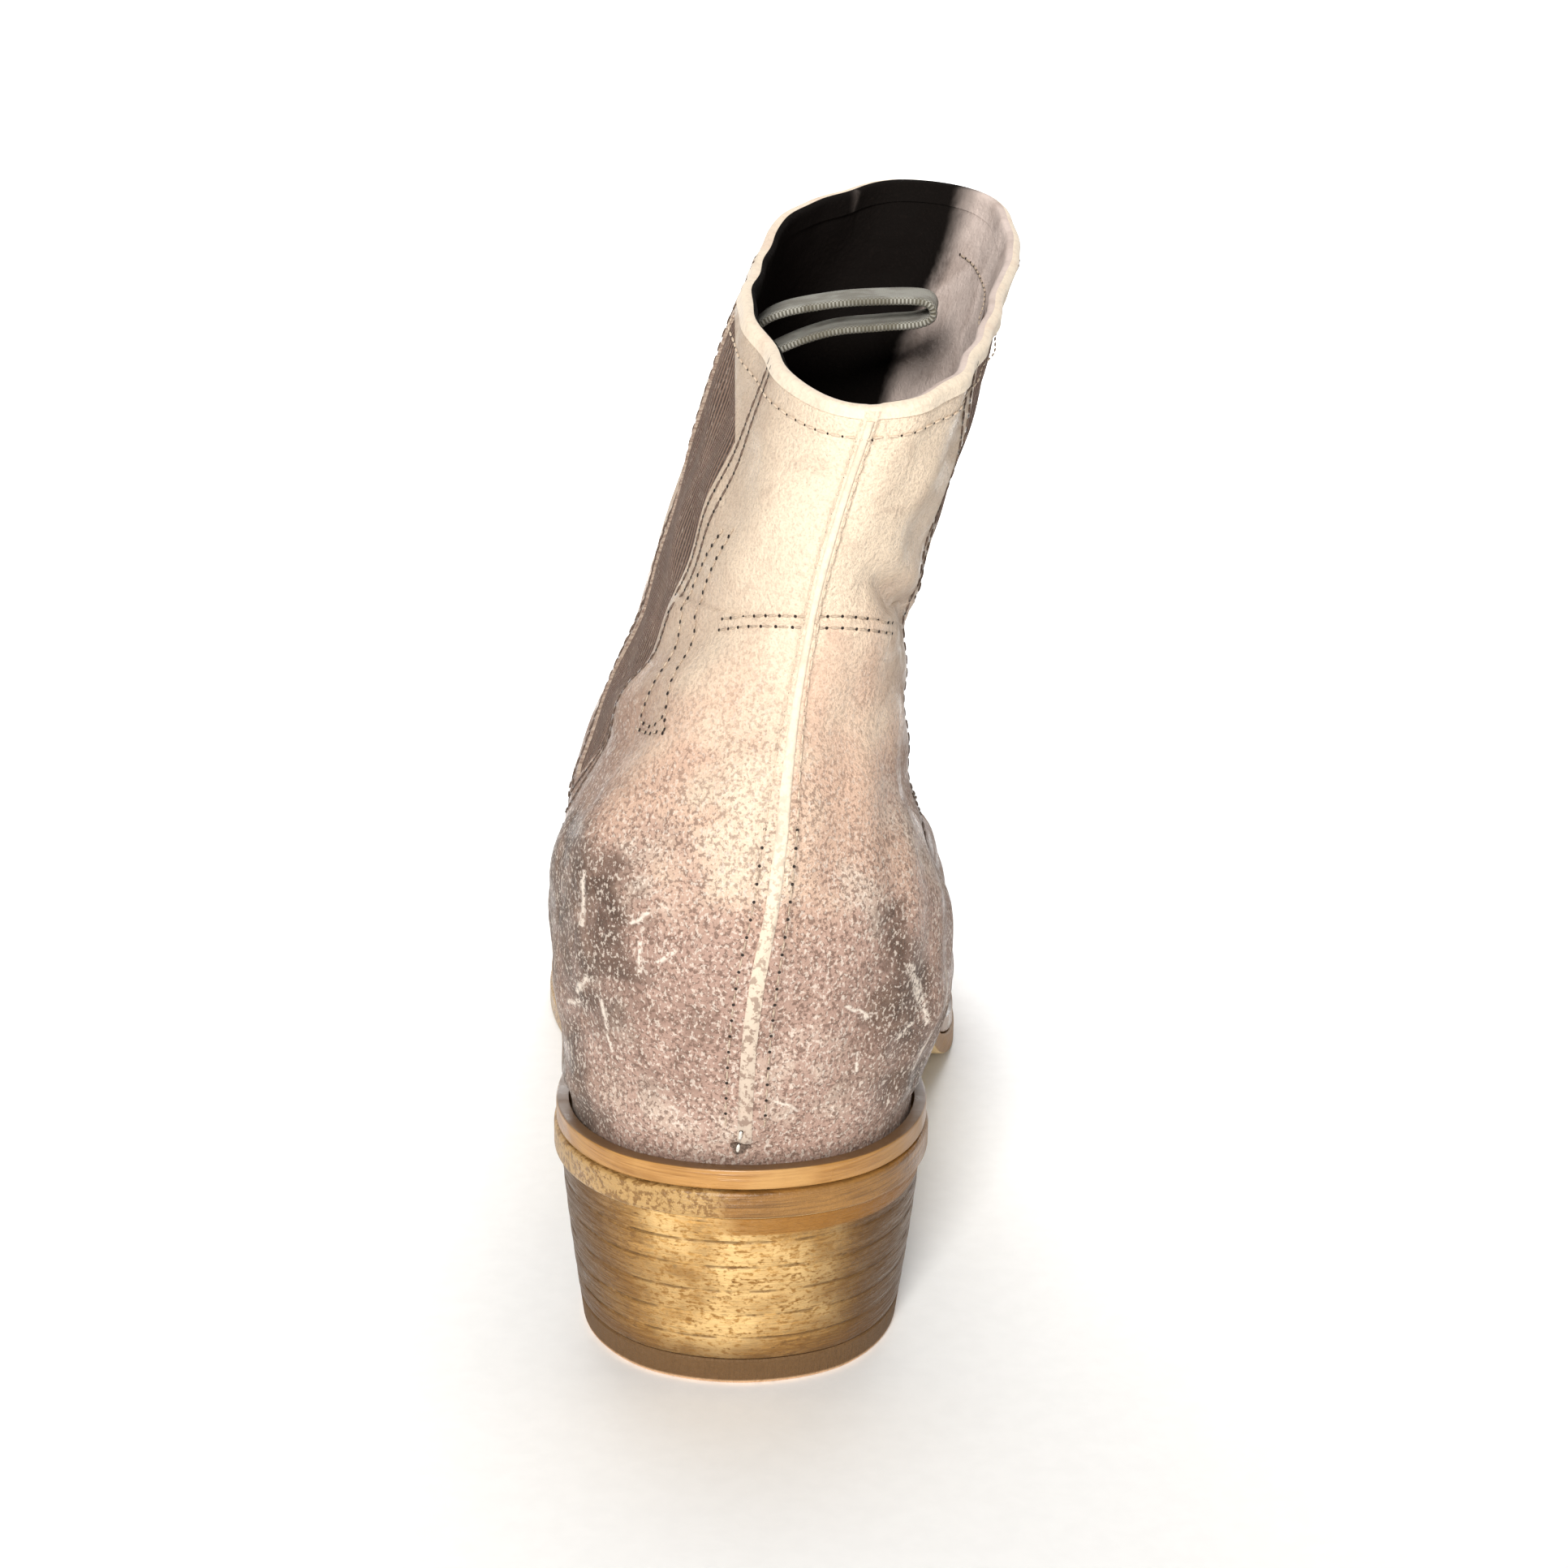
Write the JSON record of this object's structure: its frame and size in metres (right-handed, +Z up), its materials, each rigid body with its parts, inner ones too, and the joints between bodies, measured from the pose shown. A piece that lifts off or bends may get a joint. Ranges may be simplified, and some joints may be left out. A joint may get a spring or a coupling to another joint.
{
  "type": "western ankle boot",
  "caption": "Right western ankle boot in worn suede with elastic side gores, a stacked leather heel and a leather sole.",
  "frame": {"origin": "centre of the heel's flat underside, on the floor", "axes": "+Y from heel to toe, +X to the outer (lateral) side of the right foot, +Z up"},
  "size_m": [0.0897, 0.2536, 0.183],
  "materials": {
    "upper_suede": "worn suede, cream at the shaft and taupe at the counter, matte nap with pale scuffs",
    "sole_leather": "natural tan leather, scratched under the forefoot, burnished edges",
    "welt_leather": "waxed orange-brown leather edge",
    "stacked_leather": "stacked leather, golden tan with dark layer lines, waxed satin",
    "top_lift_rubber": "pinkish tan rubber, matte, worn",
    "gore_elastic": "ribbed dark brown elastic webbing",
    "lining_leather": "pale pink-beige lining leather, matte",
    "loop_webbing": "light grey woven webbing"
  },
  "bodies": {
    "root": {"outsole": "sole_leather", "welt": "welt_leather", "heel_top_lift": "top_lift_rubber", "heel_lift_1": "stacked_leather", "heel_lift_2": "stacked_leather", "heel_lift_3": "stacked_leather", "heel_lift_4": "stacked_leather", "heel_lift_5": "stacked_leather", "heel_lift_6": "stacked_leather", "insole": "lining_leather", "upper": "upper_suede", "gore_lateral": "gore_elastic", "gore_medial": "gore_elastic", "pull_loop": "loop_webbing"}
  },
  "joints": []
}
